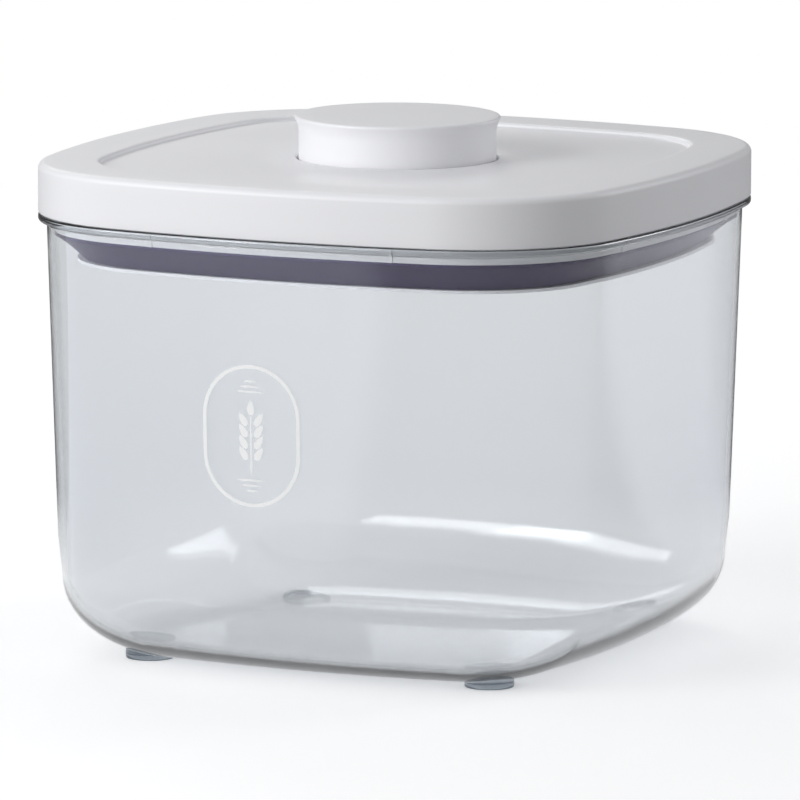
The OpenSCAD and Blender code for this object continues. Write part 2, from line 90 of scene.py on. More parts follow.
# Shades of the studio round the bin as gloss shows it, and the compass degrees where each
# starts or ends: 0 is the right, 90 the back and -90 the front
COOL, DARK, WHITE, DIM = (0.7, 0.74, 0.86), (0.05, 0.04, 0.04), (0.58, 0.58, 0.64), (0.13,) * 3
STUDIO = ((-180, COOL), (-99, COOL), (-95, DARK), (38, DARK), (43, WHITE), (66, WHITE), (84, DIM))
STUDIO_STRENGTH = 1.25


def length(name, value, text):
    """A length property of the bin, in metres."""
    return FloatProperty(name=name, default=value, description=text, unit="LENGTH", precision=5)


def paint(name, code, text):
    """A colour property, written as an sRGB hex value."""
    return StringProperty(name=name, default=code, description=text)


def tilt(name, degrees, text):
    """An angle property, given in degrees."""
    return FloatProperty(name=name, default=math.radians(degrees), description=text, unit="ROTATION")


class BinOutline(PropertyGroup):
    """Plan outline that the lid and the tub share."""

    half_width: length("Half width", COVER_HIGH.x, "Half of the width across the flats")
    side_radius: length("Side radius", 400 * MM, "Radius of the gently bowed sides, seen from above")
    corner_radius: length("Corner radius", 59.5 * MM, "Radius of the rounded corners, seen from above")
    side_steps: IntProperty(name="Side steps", default=18, description="Faces along one bowed side")
    corner_steps: IntProperty(name="Corner steps", default=30, description="Faces round one corner")


class BinTub(PropertyGroup):
    """Sizes of the clear tub and its feet."""

    wall: length("Wall", 2 * MM, "Thickness of the clear wall")
    floor: length("Floor", 3 * MM, "Thickness of the clear floor")
    draft: tilt("Draft", 1.9, "Slope of the walls")
    rim_out: length("Rim width", 3 * MM, "How far the rim stands out from the wall")
    rim_height: length("Rim height", 2.6 * MM, "Height of the rim's edge")
    rim_round: length("Rim rounding", 0.9 * MM, "Rounding of the rim's edge")
    mouth_round: length("Mouth rounding", 0.4 * MM, "Rounding of the rim's inner edge")
    round_width: length("Rounding width", 39 * MM, "Width of the rounding from wall to floor")
    round_height: length("Rounding height", 29 * MM, "Height of the rounding from wall to floor")
    foot_height: length("Foot height", 1.5 * MM, "Height of a foot's side")


class BinLid(PropertyGroup):
    """Sizes of the white lid cover."""

    skirt: length("Skirt", 2.4 * MM, "Thickness of the lid's skirt")
    skirt_gap: length("Skirt gap", 0.4 * MM, "Dark gap between the skirt and the tub's rim")
    edge_radius: length("Edge radius", 2.6 * MM, "Rounding of the lid's upper edge")
    band: length("Band", 21 * MM, "Width of the flat band round the sunk panel")
    panel_depth: length("Panel depth", 1.8 * MM, "Depth of the sunk panel")
    panel_step: length("Panel step", 3.2 * MM, "Width of the soft step down to the panel")
    top: length("Top", 2.2 * MM, "Thickness of the lid's top")
    boss_at: length("Boss place", 60 * MM, "Distance of each screw boss from the middle, both ways")
    boss_radius: length("Boss radius", 4.4 * MM, "Radius of a screw boss")
    collar: length("Collar", 2.2 * MM, "Thickness of the collar that guides the button")
    collar_gap: length("Collar gap", 0.25 * MM, "Running clearance between the collar and the button")
    collar_foot: length("Collar foot", 9.05 * MM, "Height of the collar's foot above the bosses' feet")


class BinButton(PropertyGroup):
    """Sizes of the press button."""

    radius: length("Radius", 37.6 * MM, "Radius of the button's top")
    lip: length("Lip", 1.5 * MM, "How far the upper edge stands out over the side")
    flare: length("Flare", 6 * MM, "Height of the flare under the upper edge")
    fillet: length("Fillet", 0.8 * MM, "Rounding of the upper edge, outside and inside")
    gap: length("Gap", 0.9 * MM, "Gap between the button and the hole in the lid")
    shell: length("Shell", 2.4 * MM, "Thickness of the button's shell")
    stop: length("Stop edge", 1.4 * MM, "Height of the stop edge at the button's foot")


class BinSeal(PropertyGroup):
    """Sizes of the soft seal ring."""

    slope: length("Slope", 11.2 * MM, "Width of the seal's sloping face")
    sag: length("Sag", 0.35 * MM, "How far the sloping face is hollowed")
    foot: length("Foot", 5 * MM, "Width of the seal's foot on the plate")
    lip: length("Lip", 1.2 * MM, "Thickness of the seal's upper lip")
    groove: length("Groove", 2.4 * MM, "Depth of the groove behind the lip")


class BinSpring(PropertyGroup):
    """Sizes of the return spring."""

    wire: length("Wire", 0.6 * MM, "Radius of the spring's wire")
    turns: IntProperty(name="Turns", default=8, description="Turns, with the two closed end turns")


class BinPrint(PropertyGroup):
    """Sizes of the white print on the front wall."""

    centre_x: length("Centre X", -6.1 * MM, "Sideways place of the ring's centre")
    centre_z: length("Centre Z", 91.9 * MM, "Height of the ring's centre")
    width: length("Width", 38.2 * MM, "Outer width of the ring")
    height: length("Height", 51.5 * MM, "Outer height of the ring")
    line: length("Line", 1.35 * MM, "Width of the ring's line")
    film: length("Film", 0.06 * MM, "Thickness of the print's film")
    gap: length("Stand-off", 0.02 * MM, "Gap between the wall and the print")
    grain_long: length("Grain length", 5.4 * MM, "Length of a grain in the ear")
    grain_wide: length("Grain width", 2.5 * MM, "Width of a grain in the ear")
    grain_tilt: tilt("Grain tilt", 33, "Lean of the side grains from upright")


class BinColours(PropertyGroup):
    """Colours of the bin, as sRGB hex values."""

    white: paint("White", "#F1F1F3", "Moulded cover, button and plate")
    clear: paint("Clear", "#F3F4F5", "Clear tub")
    frost: paint("Frost", "#FAFBFC", "Frosted seal carrier")
    silicone: paint("Silicone", "#463D60", "Soft seal ring")
    print_white: paint("Print", "#FBFBFB", "Print on the front wall")
    steel: paint("Steel", "#C9CACC", "Pins, posts, screws and spring")
    lever: paint("Lever", "#D4D7DC", "Levers and button core")
    bumper: paint("Bumper", "#B9BEC4", "Soft clear feet")


class BinStage(PropertyGroup):
    """Camera and floor of the studio."""

    azimuth: tilt("Azimuth", 24.461, "Camera turn")
    elevation: tilt("Elevation", 8.801, "Camera height angle")
    roll: tilt("Roll", -0.176, "Camera roll")
    distance: length("Distance", 3.380, "Distance from the camera to its target")
    target_right: length("Target right", 1.2 * MM, "Sideways place of the target")
    target_height: length("Target height", 89.75 * MM, "Height of the target")
    lens: FloatProperty(name="Lens", default=415.2, description="Focal length in millimetres", min=1.0)
    floor_radius: length("Floor radius", 6.0, "Radius of the pale floor")


GROUPS = {
    "bin_outline": BinOutline,
    "bin_tub": BinTub,
    "bin_lid": BinLid,
    "bin_button": BinButton,
    "bin_seal": BinSeal,
    "bin_spring": BinSpring,
    "bin_print": BinPrint,
    "bin_colours": BinColours,
    "bin_stage": BinStage,
}


def linear_colour(code):
    """An sRGB hex value as linear red, green, blue and alpha."""
    srgb = np.array([int(code[i : i + 2], 16) for i in (1, 3, 5)]) / 255
    linear = np.where(srgb <= 0.04045, srgb / 12.92, ((srgb + 0.055) / 1.055) ** 2.4)
    return (*[float(c) for c in linear], 1.0)


def outline_arcs(outline):
    """The plan outline's construction: eight arcs that meet tangentially.

    A side's arc is centred its radius less the half width behind the middle and a corner's arc on
    the diagonal. The angle is where the two meet, seen from the side's centre.
    """
    back = outline.side_radius - outline.half_width
    reach = outline.side_radius - outline.corner_radius
    corner = (math.sqrt(2 * reach**2 - back**2) - back) / 2
    return back, corner, math.atan2(corner, corner + back)


def plan_frame(outline):
    """Centres, radii and directions of the plan outline's points, counter-clockwise.

    A point at an inset is its arc's centre plus (radius - inset) times its direction, so every
    inset keeps the same centres and directions.
    """
    k, c, tangent = outline_arcs(outline)
    side = np.linspace(-tangent, tangent, outline.side_steps, endpoint=False)
    corner = np.linspace(tangent, math.pi / 2 - tangent, outline.corner_steps, endpoint=False)
    angle = np.concatenate([side, corner])
    centre = np.concatenate([np.tile([-k, 0.0], (len(side), 1)), np.tile([c, c], (len(corner), 1))])
    radius = np.concatenate(
        [np.full(len(side), outline.side_radius), np.full(len(corner), outline.corner_radius)]
    )
    turn = np.arange(4) * math.pi / 2
    spin = np.stack(
        [np.stack([np.cos(turn), -np.sin(turn)], -1), np.stack([np.sin(turn), np.cos(turn)], -1)], 1
    )
    centres = np.einsum("qij,nj->qni", spin, centre).reshape(-1, 2)
    angles = (turn[:, None] + angle[None, :]).ravel()
    directions = np.stack([np.cos(angles), np.sin(angles)], -1)
    return centres, np.tile(radius, 4), directions


def raised(flat, height):
    """Flat rings of points, each lifted to its height."""
    z = np.broadcast_to(height[:, None, None], (*flat.shape[:-1], 1))
    return np.concatenate([flat, z], -1)


def loft(profile, plan):
    """Rings of the plan outline: one ring for each (inset, height) pair of the profile."""
    centres, radii, directions = plan
    inset, height = np.asarray(profile, float).T
    return raised(centres[None] + (radii[None, :] - inset[:, None])[..., None] * directions[None], height)


def circles(profile, angle):
    """Round rings at the given angles: one ring for each (radius, height) pair of the profile."""
    radius, height = np.asarray(profile, float).T
    ring = np.stack([np.cos(angle), np.sin(angle)], -1)
    return raised(radius[:, None, None] * ring[None], height)


def turned_ring(profile, steps):
    """Rings of a turned shape: evenly divided circles for the (radius, height) pairs."""
    return circles(profile, np.arange(steps) * 2 * math.pi / steps)


def notched_arcs(profile, notch, steps):
    """Grids of four arcs of a turned shape, one between each two square notches on the axes.

    At radius r an arc runs from asin(notch / 2r) to a right angle less the same.
    """
    radius, height = np.asarray(profile, float).T
    edge = np.arcsin(notch / 2 / radius)[:, None]
    a = edge + (math.pi / 2 - 2 * edge) * np.linspace(0, 1, steps + 1)[None, :]
    a = a[None] + (np.arange(4) * math.pi / 2)[:, None, None]
    return raised(radius[None, :, None, None] * np.stack([np.cos(a), np.sin(a)], -1), height)


def between(first, last, steps):
    """Rings that change evenly from one ring to another, without either end."""
    t = np.linspace(0, 1, steps + 2)[1:-1, None, None]
    return first[None] * (1 - t) + last[None] * t


def to_pole(ring, steps):
    """Level rings that shrink evenly from one ring to a point on the upright axis."""
    pole = np.zeros_like(ring)
    pole[:, 2] = ring[:, 2]
    return between(ring, pole, steps)


def ellipse(centre_in, centre_z, width, height, start, end, steps):
    """Profile pairs on an ellipse: inset centre_in - width cos a, height centre_z + height sin a."""
    a = np.radians(np.linspace(start, end, steps + 1))
    return np.stack([centre_in - width * np.cos(a), centre_z + height * np.sin(a)], -1)


def grid_faces(rows, columns, wrap_rows):
    """Quads of a grid that closes round its columns, and round its rows where asked."""
    i, j = np.meshgrid(np.arange(rows if wrap_rows else rows - 1), np.arange(columns), indexing="ij")
    low, high = i * columns, ((i + 1) % rows) * columns
    right = (j + 1) % columns
    return np.stack([low + j, low + right, high + right, high + j], -1).reshape(-1, 4)


def fan_faces(first, columns, pole, flip):
    """Triangles that close a ring onto its pole."""
    j = np.arange(columns)
    right = (j + 1) % columns
    pair = (first + right, first + j) if flip else (first + j, first + right)
    return np.stack([*pair, np.full(columns, pole)], -1)


def poled_faces(rows, columns):
    """Faces of a grid whose first and last rows close onto the two points that follow the grid."""
    count = rows * columns
    return [
        grid_faces(rows, columns, False),
        fan_faces(0, columns, count, True),
        fan_faces(count - columns, columns, count + 1, False),
    ]


def mesh_of(name, points, faces, sharp=35):
    """A smooth-shaded mesh object from an array of points and arrays of faces."""
    mesh = bpy.data.meshes.new(name)
    polygons = [face for block in faces for face in block.tolist()]
    mesh.from_pydata(points.reshape(-1, 3).tolist(), [], polygons)
    mesh.polygons.foreach_set("use_smooth", np.ones(len(mesh.polygons), bool))
    mesh.set_sharp_from_angle(angle=math.radians(sharp))
    mesh.update()
    piece = bpy.data.objects.new(name, mesh)
    bpy.context.scene.collection.objects.link(piece)
    return piece


def ring_solid(name, rings, sharp=35):
    """A closed solid whose rings join up: the last ring meets the first."""
    rows, columns = rings.shape[:2]
    return mesh_of(name, rings, [grid_faces(rows, columns, True)], sharp)


def pole_solid(name, rings, low_pole, high_pole, sharp=35):
    """A closed solid whose first and last rings each close onto a pole."""
    points = np.concatenate([rings.reshape(-1, 3), [low_pole, high_pole]])
    return mesh_of(name, points, poled_faces(*rings.shape[:2]), sharp)


def arc_solids(name, grids):
    """Closed solids from grids whose rows join up round the section and whose ends are capped."""
    count, rows, columns = grids.shape[:3]
    i, j = np.meshgrid(np.arange(rows), np.arange(columns - 1), indexing="ij")
    low, high = i * columns + j, ((i + 1) % rows) * columns + j
    walls = np.stack([low, low + 1, high + 1, high], -1).reshape(-1, 4)
    first = np.arange(rows)[None, :] * columns
    last = first[:, ::-1] + columns - 1
    faces = []
    for block in range(count):
        start = block * rows * columns
        faces += [walls + start, first + start, last + start]
    return mesh_of(name, grids, faces)


def give_material(piece, material):
    """Makes a material the only one of a piece."""
    piece.data.materials.clear()
    piece.data.materials.append(material)


def fit_piece(piece, body, slot, material, *replaced):
    """Puts a finished piece on its body with its material, in place of CAD nodes. The slot is not used.
    """
    give_material(piece, material)
    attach(piece, body)
    if replaced:
        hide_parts(*replaced)


def add_node(tree, kind, links=None, **settings):
    """Adds a node. A setting is an input socket's value or a node property; links feed inputs."""
    node = tree.nodes.new(kind)
    for key, value in settings.items():
        name = key.replace("_", " ")
        socket = next((s for s in node.inputs if s.name.lower() == name.lower()), None)
        if socket is not None and not hasattr(node, key):
            socket.default_value = value
        else:
            setattr(node, key, value)
    for key, source in (links or {}).items():
        tree.links.new(source, node.inputs[key])
    return node


def new_material(name):
    """An empty node material, its tree and its output node."""
    material = bpy.data.materials.new(name)
    material.use_nodes = True
    tree = material.node_tree
    tree.nodes.clear()
    return material, tree, add_node(tree, "ShaderNodeOutputMaterial")


def grained(name, patterns, rough, colour=None, relief=(), **settings):
    """A material whose roughness, colour and relief follow noise on Object coordinates.

    A pattern is its bumps' size in mm, its detail and maybe its stretch, and the rest name it by
    number. Rough is a pattern and two roughnesses, colour a pattern, an sRGB hex value and the
    share by which it varies, and relief a pattern, depth in mm and strength for each layer.
    """
    material, tree, output = new_material(name)
    coordinate = add_node(tree, "ShaderNodeTexCoord").outputs["Object"]
    noises = []
    for size_mm, detail, *stretch in patterns:
        scale = tuple(s / (size_mm * MM) for s in (stretch or (1.0, 1.0, 1.0)))
        place = add_node(tree, "ShaderNodeMapping", {"Vector": coordinate}, Scale=scale)
        noise = add_node(
            tree, "ShaderNodeTexNoise", {"Vector": place.outputs["Vector"]}, Scale=1.0, Detail=detail
        )
        noises.append(noise.outputs["Fac"])
    pattern, low, high = rough
    reach = {"From_Min": NOISE_LOW, "From_Max": NOISE_HIGH, "To_Min": low, "To_Max": high}
    roughness = add_node(tree, "ShaderNodeMapRange", {"Value": noises[pattern]}, **reach)
    links = {"Roughness": roughness.outputs["Result"]}
    if colour is not None:
        pattern, code, share = colour
        tint = np.array(linear_colour(code)[:3])
        mix = add_node(tree, "ShaderNodeMix", {"Factor": noises[pattern]}, data_type="RGBA")
        mix.inputs[6].default_value = (*(tint * (1 - share)), 1)
        mix.inputs[7].default_value = (*np.minimum(1, tint * (1 + share)), 1)
        links["Base Color"] = mix.outputs[2]
    for pattern, depth_mm, strength in relief:
        heights = {"Height": noises[pattern]}
        if "Normal" in links:
            heights["Normal"] = links["Normal"]
        bump = add_node(tree, "ShaderNodeBump", heights, Distance=depth_mm * MM, Strength=strength)
        links["Normal"] = bump.outputs["Normal"]
    shader = add_node(tree, "ShaderNodeBsdfPrincipled", links, **settings)
    tree.links.new(shader.outputs["BSDF"], output.inputs["Surface"])
    return material, shader, output


def satin_abs(name, code, roughness=0.42):
    """Moulded ABS: a fine spark-eroded grain that softens its highlights, and faint broad dents where the
    moulding shrank, with painted shade that makes the colour a touch darker in the dips and lighter on
    the crests.
    """
    # The real grain is about 0.05 mm. It is drawn 0.35 mm coarse so that it shows.
    grain, dents_and_painted_shade = (0.35, 3.0), (45.0, 1.0)
    rough = (0, roughness - 0.04, roughness + 0.05)
    relief = ((1, 0.05, 0.5), (0, 0.012, 0.5))
    # The colour follows the dents' pattern too: painted shade, darker in the dips and lighter on the
    # crests, laid over the real relief.
    return grained(name, (grain, dents_and_painted_shade), rough, (1, code, 0.008), relief, IOR=1.53)[0]


def clear_plastic(name, code, roughness=0.02, shadow=0.82, absorb=80.0):
    """Injection-moulded clear plastic: glassy, with the slow ripple of the mould flow.

    Lamps light what is inside through a tinted see-through share that only shadow rays meet. Light
    that runs a long way inside the plastic is absorbed, which darkens its edges.
    """
    flow, haze = (38.0, 1.5, 1.0, 1.0, 0.35), (9.0, 3.0)
    rough, relief = (1, roughness, roughness + 0.03), ((0, 0.02, 0.6),)
    glassy = {"Base_Color": linear_colour(code), "IOR": 1.57, "Transmission_Weight": 1.0}
    material, shader, output = grained(name, (flow, haze), rough, relief=relief, **glassy)
    tree = material.node_tree
    light = add_node(tree, "ShaderNodeLightPath")
    through = add_node(tree, "ShaderNodeBsdfTransparent", Color=(shadow, shadow, shadow * 1.01, 1))
    mix = add_node(
        tree,
        "ShaderNodeMixShader",
        {0: light.outputs["Is Shadow Ray"], 1: shader.outputs["BSDF"], 2: through.outputs["BSDF"]},
    )
    tree.links.new(mix.outputs["Shader"], output.inputs["Surface"])
    # In the tub, about 7 % over its 2 mm wall and two thirds over 30 mm along it
    absorption = add_node(
        tree, "ShaderNodeVolumeAbsorption", Color=linear_colour("#C4CAD0"), Density=absorb
    )
    tree.links.new(absorption.outputs["Volume"], output.inputs["Volume"])
    return material


def frosted_plastic(name, code):
    """Moulded clear plastic with a matt-textured skin: light spreads in it, so it reads pale grey."""
    milky = {"Base_Color": linear_colour(code), "IOR": 1.5, "Transmission_Weight": 0.15}
    return grained(name, ((0.5, 3.0),), (0, 0.3, 0.4), relief=((0, 0.02, 0.5),), **milky)[0]


def silicone(name, code):
    """Moulded silicone: a satin skin with a soft sheen and a little clinging dust."""
    skin, dust = (1.2, 4.0), (3.5, 5.0)
    soft = {"IOR": 1.41, "Specular_IOR_Level": 0.25, "Sheen_Weight": 0.06, "Sheen_Roughness": 0.5}
    return grained(name, (skin, dust), (0, 0.42, 0.55), (1, code, 0.06), ((0, 0.03, 0.5),), **soft)[0]


def steel(name, code, roughness=0.28):
    """Drawn and ground steel: fine lengthwise lines that stretch its highlights."""
    lines = (0.4, 3.0, 1.0, 1.0, 0.1)
    rough = (0, roughness - 0.06, roughness + 0.08)
    return grained(name, (lines,), rough, (0, code, 0.04), ((0, 0.008, 0.5),), Metallic=1.0)[0]


def print_ink(name, code):
    """Screen-printed ink: a thin opaque white film whose cover is slightly uneven."""
    return grained(name, ((0.8, 3.0),), (0, 0.45, 0.6), (0, code, 0.02), IOR=1.5)[0]


def material_named(name, make, *details):
    """The material of that name, made on its first use."""
    return bpy.data.materials.get(name) or make(name, *details)


def wall_inset(scene, z):
    """Inset of the tub's outer wall at a height: the rim's width plus the slope below the rim."""
    tub = scene.bin_tub
    return tub.rim_out + (TUB_HIGH.z - z) * math.tan(tub.draft)


class BIN_OT_tub(Operator):
    """Make the clear tub: floor, rounded base edge, drafted walls and turned-out rim."""

    bl_idname = "bin.make_tub"
    bl_label = "Clear Tub"

    def execute(self, context):
        scene = context.scene
        plan = plan_frame(scene.bin_outline)
        rings = loft(np.concatenate([self.outside(scene), self.inside(scene)]), plan)
        rings = np.concatenate([to_pole(rings[0], 6)[::-1], rings, to_pole(rings[-1], 6)])
        floor_z = TUB_LOW.z + scene.bin_tub.floor
        piece = pole_solid("tub_shell", rings, (0, 0, TUB_LOW.z), (0, 0, floor_z), sharp=60)
        plastic = material_named("clear_tub_plastic", clear_plastic, scene.bin_colours.clear)
        fit_piece(piece, "tub", "clear_tub", plastic, "tub")
        return {"FINISHED"}

    def outside(self, scene):
        """Profile of the outside: base rounding, straight wall, cove under the rim, round rim."""
        tub = scene.bin_tub
        width, height = tub.round_width, tub.round_height
        lip = tub.rim_round
        rim_z = TUB_HIGH.z
        neck_z = rim_z - tub.rim_height
        base = ellipse(
            wall_inset(scene, TUB_LOW.z) + width, TUB_LOW.z + height, width, height, -90, 0, 22
        )
        heights = np.linspace(TUB_LOW.z + height, neck_z - 2 * lip, 10)[1:]
        wall = np.stack([wall_inset(scene, heights), heights], -1)
        cove = ellipse(wall[-1, 0] - 2 * lip, neck_z - 2 * lip, -2 * lip, 2 * lip, 0, 90, 5)[1:]
        under_rim = ellipse(lip, neck_z + lip, lip, lip, -90, 0, 4)[1:]
        over_rim = ellipse(lip, rim_z - lip, lip, lip, 0, 90, 4)
        return np.concatenate([base, wall, cove, [[lip, neck_z]], under_rim, over_rim])

    def inside(self, scene):
        """Profile of the inside: rounded mouth, straight wall and the rounding down to the floor."""
        tub = scene.bin_tub
        mouth = tub.mouth_round
        mouth_in = tub.rim_out + tub.wall
        top_z = TUB_HIGH.z - mouth
        width, height = tub.round_width - tub.wall, tub.round_height - tub.floor
        low_z = TUB_LOW.z + tub.floor + height
        low_in = wall_inset(scene, TUB_LOW.z) + tub.wall
        edge = ellipse(mouth_in - mouth, top_z, -mouth, mouth, 90, 0, 3)
        heights = np.linspace(top_z, low_z, 10)[1:-1]
        share = (TUB_HIGH.z - heights) / (TUB_HIGH.z - low_z)
        wall = np.stack([mouth_in + (low_in - mouth_in) * share, heights], -1)
        return np.concatenate([edge, wall, ellipse(low_in + width, low_z, width, height, 0, -90, 22)])


def underside(scene, points):
    """Height of the tub's underside over plan points.

    The inset of a point is its arc's radius less its distance from the arc's centre; past the
    flat of the floor the height follows the quarter ellipse of the rounding.
    """
    outline, tub = scene.bin_outline, scene.bin_tub
    k, c, tangent = outline_arcs(outline)
    p = np.abs(points)
    high, low = np.maximum(p[..., 0], p[..., 1]), np.minimum(p[..., 0], p[..., 1])
    corner_in = outline.corner_radius - np.hypot(high - c, low - c)
    side_in = outline.side_radius - np.hypot(high + k, low)
    at_corner = np.arctan2(low, high + k) > tangent
    inset = np.where(at_corner & (low > 0), corner_in, side_in)
    base_in = wall_inset(scene, TUB_LOW.z)
    past = np.clip(base_in + tub.round_width - inset, 0, tub.round_width) / tub.round_width
    return TUB_LOW.z + tub.round_height * (1 - np.sqrt(1 - past**2))


class BIN_OT_feet(Operator):
    """Make the four clear bumper feet, whose tops follow the tub's rounded underside."""

    bl_idname = "bin.make_feet"
    bl_label = "Bumper Feet"

    def execute(self, context):
        scene = context.scene
        tub = scene.bin_tub
        rubber = material_named(
            "clear_bumper_rubber", clear_plastic, scene.bin_colours.bumper, 0.05, 0.5, 150.0
        )
        edge, bevel, gap = 0.6 * MM, 0.25 * MM, 0.02 * MM
        for name in ("foot_front_left", "foot_front_right", "foot_back_left", "foot_back_right"):
            low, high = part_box(name)
            centre = (low + high) / 2
            radius = (high.x - low.x) / 2
            side = [
                (radius * 0.5, 0.0),
                (radius - edge, 0.0),
                (radius - 0.3 * edge, 0.15 * edge),
                (radius, edge),
                (radius, tub.foot_height),
            ]
            roof = [(radius * s, 0.0) for s in (1.0, 0.97, 0.85, 0.7, 0.5, 0.25)]
            rings = turned_ring(side + roof, 64)
            rings[..., :2] += (centre.x, centre.y)
            top = len(side)
            height = underside(scene, rings[top:, :, :2]) - gap
            height[0] -= bevel
            rings[top:, :, 2] = height
            rings[top - 1, :, 2] = np.minimum(tub.foot_height, height[0] - 0.2 * MM)
            roof_z = float(underside(scene, np.array([[centre.x, centre.y]]))[0]) - gap
            poles = (centre.x, centre.y, 0), (centre.x, centre.y, roof_z)
            fit_piece(pole_solid(name + "_bumper", rings, *poles), "tub", "clear_bumper", rubber, name)
        return {"FINISHED"}


class BIN_OT_cover(Operator):
    """Make the white lid cover: skirt, rounded edge, flat band, soft step, sunk panel and collar."""

    bl_idname = "bin.make_cover"
    bl_label = "Lid Cover"

    def execute(self, context):
        scene = context.scene
        lid = scene.bin_lid
        plan = plan_frame(scene.bin_outline)
        skirt_z = TUB_HIGH.z + lid.skirt_gap
        panel_z = COVER_HIGH.z - lid.panel_depth
        ceiling_z = panel_z - lid.top
        upper = loft(self.outside(lid, skirt_z, panel_z), plan)
        hole = self.hole(lid, scene.bin_button, panel_z, ceiling_z)
        middle = circles(hole, np.arctan2(upper[-1, :, 1], upper[-1, :, 0]))
        edge = 0.4 * MM
        under = loft(
            [
                (lid.skirt + 3 * edge, ceiling_z),
                (lid.skirt + 0.35 * MM, ceiling_z - 0.35 * MM),
                (lid.skirt, ceiling_z - 3 * edge),
                (lid.skirt, skirt_z + edge),
                (lid.skirt - edge, skirt_z),
            ],
            plan,
        )
        panel, ceiling = between(upper[-1], middle[0], 8), between(middle[-1], under[0], 5)
        rings = np.concatenate([upper, panel, middle, ceiling, under])
        white = material_named("satin_white_cover", satin_abs, scene.bin_colours.white)
        fit_piece(ring_solid("lid_cover_shell", rings), "lid", "white_cover", white, "lid_cover")
        bore, radius = 1.5 * MM, lid.boss_radius
        foot_z, root_z = COVER_LOW.z, ceiling_z + 0.5 * MM
        section = [(bore, root_z), (bore, foot_z), (radius, foot_z), (radius, root_z)]
        for x, across in ((-1, "left"), (1, "right")):
            for y, along in ((-1, "front"), (1, "back")):
                rings = turned_ring(section, 32)
                rings[..., :2] += (x * lid.boss_at, y * lid.boss_at)
                boss = ring_solid(f"screw_boss_{across}_{along}", rings)
                fit_piece(boss, "lid", "white_cover", white)
        return {"FINISHED"}

    def outside(self, lid, skirt_z, panel_z):
        """Profile of the outside: skirt's foot, skirt, round edge, flat band and the soft step."""
        top_z = COVER_HIGH.z
        radius, foot = lid.edge_radius, 0.45 * MM
        half_step, half_fall = lid.panel_step / 2, lid.panel_depth / 2
        step_in = lid.band + lid.panel_step
        heights = np.linspace(skirt_z + foot, top_z - radius, 6)[1:-1]
        return np.concatenate(
            [
                ellipse(foot, skirt_z + foot, foot, foot, -90, 0, 4),
                np.stack([np.zeros(4), heights], -1),
                ellipse(radius, top_z - radius, radius, radius, 0, 90, 12),
                [[radius + (lid.band - radius) * s, top_z] for s in (0.3, 0.6, 0.9)],
                ellipse(lid.band, top_z - half_fall, -half_step, half_fall, 90, 0, 8),
                ellipse(step_in, panel_z + half_fall, half_step, -half_fall, 0, 90, 8)[1:],
            ]
        )

    def hole(self, lid, button, panel_z, ceiling_z):
        """Turned profile of the button's hole, with a rounded edge, and of the collar below it."""
        hole_r = button.radius - button.lip + button.gap
        collar_in = CAP_HIGH.x + lid.collar_gap
        collar_out = collar_in + lid.collar
        collar_z = COVER_LOW.z + lid.collar_foot
        seam_z = ceiling_z - 0.01 * MM
        r = 0.5 * MM
        edge = ellipse(hole_r + r, panel_z - r, r, r, 90, 0, 3)
        inner = [(collar_in, seam_z), (collar_in, collar_z)]
        outer = [(collar_out, collar_z), (collar_out, seam_z)]
        return [*edge, (hole_r, ceiling_z), *inner, *outer]


class BIN_OT_button(Operator):
    """Make the round press button: a cup that flares under its top edge, and its notched skirt."""

    bl_idname = "bin.make_button"
    bl_label = "Press Button"

    def execute(self, context):
        scene = context.scene
        button = scene.bin_button
        top_z, foot_z = CAP_HIGH.z, CAP_LOW.z
        r, fillet = button.radius, button.fillet
        side_r = r - button.lip
        in_r = side_r - button.shell
        stop_r = CAP_HIGH.x
        inner_z = top_z - button.shell
        notch_z = COVER_HIGH.z - scene.bin_lid.panel_depth - 0.4 * MM
        # The flare stands out by the square of its rise, and ends just under the top's rounding
        s = np.linspace(0, 1, 12)
        flare_r = side_r + (button.lip - 0.1 * MM) * s**2
        flare_z = top_z - button.flare + (button.flare - 1.4 * fillet) * s
        profile = np.concatenate(
            [
                [((in_r - fillet) * share, inner_z) for share in (0.3, 0.6, 0.85)],
                ellipse(in_r - fillet, inner_z - fillet, -fillet, fillet, 90, 0, 9),
                [(in_r, notch_z), (side_r, notch_z)],
                np.stack([flare_r, flare_z], -1),
                ellipse(r - fillet, top_z - fillet, -fillet, fillet, 0, 90, 9),
                [(r * share, top_z) for share in (0.9, 0.7, 0.45, 0.2)],
            ]
        )
        cup = pole_solid("press_button_shell", turned_ring(profile, 160), (0, 0, inner_z), (0, 0, top_z))
        white = material_named("satin_white_button", satin_abs, scene.bin_colours.white, 0.38)
        fit_piece(cup, "button", "white_button", white, "button_cap")
        # Bevel of the stop edge, and room beside a lever's pin in its notch
        edge, play = 0.2 * MM, 1.6 * MM
        section = [
            (in_r, notch_z),
            (in_r, foot_z),
            (stop_r - edge, foot_z),
            (stop_r, foot_z + edge),
            (stop_r, foot_z + button.stop),
            (side_r, foot_z + button.stop),
            (side_r, notch_z),
        ]
        pin_low, pin_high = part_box("pivot_pin_front")
        notch = pin_high.x - pin_low.x + play
        skirt = arc_solids("press_button_skirt", notched_arcs(section, notch, 36))
        fit_piece(skirt, "button", "white_button", white)
        return {"FINISHED"}


